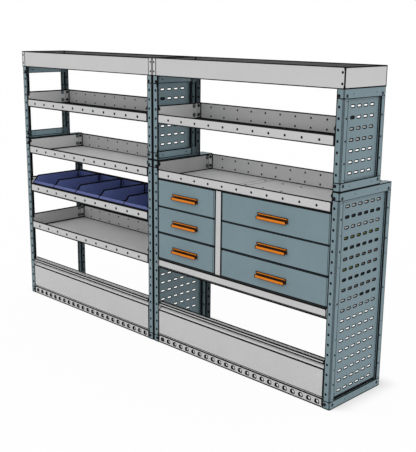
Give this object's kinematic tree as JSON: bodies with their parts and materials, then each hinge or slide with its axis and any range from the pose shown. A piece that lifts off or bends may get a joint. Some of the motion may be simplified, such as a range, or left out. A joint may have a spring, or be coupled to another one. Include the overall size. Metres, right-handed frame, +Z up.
{
  "type": "van drawer system",
  "caption": "Van racking in folded steel: two bays of shelves with open-fronted bins, a drawer cabinet, drop-front wheel-arch boxes and long top trays on slotted end frames.",
  "frame": {"origin": "on the van floor, under the middle of the rack's outline", "axes": "+X to the right as seen from the front, +Y to the rear, +Z up; the drawers open towards -Y"},
  "size_m": [2.5, 0.441, 1.6],
  "materials": {
    "rack_grey": "satin powder coat",
    "light_grey": "satin powder coat",
    "bin_blue": "fine moulded grain",
    "handle_orange": "smooth moulded"
  },
  "bodies": {
    "rack": {"left_lower_front_post": "rack_grey", "left_lower_rear_post": "rack_grey", "left_lower_bottom_channel": "rack_grey", "left_lower_top_channel": "rack_grey", "left_upper_front_post": "rack_grey", "left_upper_rear_post": "rack_grey", "left_upper_bottom_channel": "rack_grey", "left_upper_top_channel": "rack_grey", "middle_lower_front_post": "rack_grey", "middle_lower_rear_post": "rack_grey", "middle_lower_bottom_channel": "rack_grey", "middle_lower_top_channel": "rack_grey", "middle_upper_front_post": "rack_grey", "middle_upper_rear_post": "rack_grey", "middle_upper_bottom_channel": "rack_grey", "middle_upper_top_channel": "rack_grey", "right_lower_front_post": "rack_grey", "right_lower_rear_post": "rack_grey", "right_lower_bottom_channel": "rack_grey", "right_lower_top_channel": "rack_grey", "right_upper_front_post": "rack_grey", "right_upper_rear_post": "rack_grey", "right_upper_bottom_channel": "rack_grey", "right_upper_top_channel": "rack_grey", "middle_lower_panel": "rack_grey", "middle_upper_panel": "rack_grey", "right_lower_panel": "rack_grey", "right_upper_panel": "rack_grey", "left_top_tray": "light_grey", "right_top_tray": "light_grey", "left_shelf_1": "light_grey", "left_shelf_2": "light_grey", "left_shelf_3": "light_grey", "left_shelf_4": "light_grey", "right_shelf_1": "light_grey", "right_shelf_2": "light_grey", "drawer_cabinet": "light_grey", "drawer_divider": "light_grey", "left_wheel_arch_frame": "light_grey", "right_wheel_arch_frame": "light_grey"},
    "narrow_drawer_1_body": {"narrow_drawer_1": "rack_grey", "narrow_handle_1": "handle_orange"},
    "narrow_drawer_2_body": {"narrow_drawer_2": "rack_grey", "narrow_handle_2": "handle_orange"},
    "narrow_drawer_3_body": {"narrow_drawer_3": "rack_grey", "narrow_handle_3": "handle_orange"},
    "wide_drawer_1_body": {"wide_drawer_1": "rack_grey", "wide_handle_1": "handle_orange"},
    "wide_drawer_2_body": {"wide_drawer_2": "rack_grey", "wide_handle_2": "handle_orange"},
    "wide_drawer_3_body": {"wide_drawer_3": "rack_grey", "wide_handle_3": "handle_orange"},
    "bin_1_body": {"bin_1": "bin_blue"},
    "bin_2_body": {"bin_2": "bin_blue"},
    "bin_3_body": {"bin_3": "bin_blue"},
    "bin_4_body": {"bin_4": "bin_blue"},
    "bin_5_body": {"bin_5": "bin_blue"},
    "left_flap_body": {"left_wheel_arch_flap": "light_grey"},
    "right_flap_body": {"right_wheel_arch_flap": "light_grey"}
  },
  "joints": [
    {"name": "narrow_drawer_1_slide", "type": "slide", "parent": "rack", "child": "narrow_drawer_1_body", "axis": [0, -1, 0], "range_m": [0, 0.32]},
    {"name": "narrow_drawer_2_slide", "type": "slide", "parent": "rack", "child": "narrow_drawer_2_body", "axis": [0, -1, 0], "range_m": [0, 0.32]},
    {"name": "narrow_drawer_3_slide", "type": "slide", "parent": "rack", "child": "narrow_drawer_3_body", "axis": [0, -1, 0], "range_m": [0, 0.32]},
    {"name": "wide_drawer_1_slide", "type": "slide", "parent": "rack", "child": "wide_drawer_1_body", "axis": [0, -1, 0], "range_m": [0, 0.32]},
    {"name": "wide_drawer_2_slide", "type": "slide", "parent": "rack", "child": "wide_drawer_2_body", "axis": [0, -1, 0], "range_m": [0, 0.32]},
    {"name": "wide_drawer_3_slide", "type": "slide", "parent": "rack", "child": "wide_drawer_3_body", "axis": [0, -1, 0], "range_m": [0, 0.32]},
    {"name": "bin_1_lift", "type": "slide", "parent": "rack", "child": "bin_1_body", "axis": [0, 0, 1], "range_m": [0, 0.06]},
    {"name": "bin_2_lift", "type": "slide", "parent": "rack", "child": "bin_2_body", "axis": [0, 0, 1], "range_m": [0, 0.06]},
    {"name": "bin_3_lift", "type": "slide", "parent": "rack", "child": "bin_3_body", "axis": [0, 0, 1], "range_m": [0, 0.06]},
    {"name": "bin_4_lift", "type": "slide", "parent": "rack", "child": "bin_4_body", "axis": [0, 0, 1], "range_m": [0, 0.06]},
    {"name": "bin_5_lift", "type": "slide", "parent": "rack", "child": "bin_5_body", "axis": [0, 0, 1], "range_m": [0, 0.06]},
    {"name": "left_flap_hinge", "type": "hinge", "parent": "rack", "child": "left_flap_body", "pos_m": [-0.62575, -0.198, 0.054], "axis": [1, 0, 0], "range_deg": [0, 95]},
    {"name": "right_flap_hinge", "type": "hinge", "parent": "rack", "child": "right_flap_body", "pos_m": [0.62575, -0.198, 0.054], "axis": [1, 0, 0], "range_deg": [0, 95]}
  ]
}
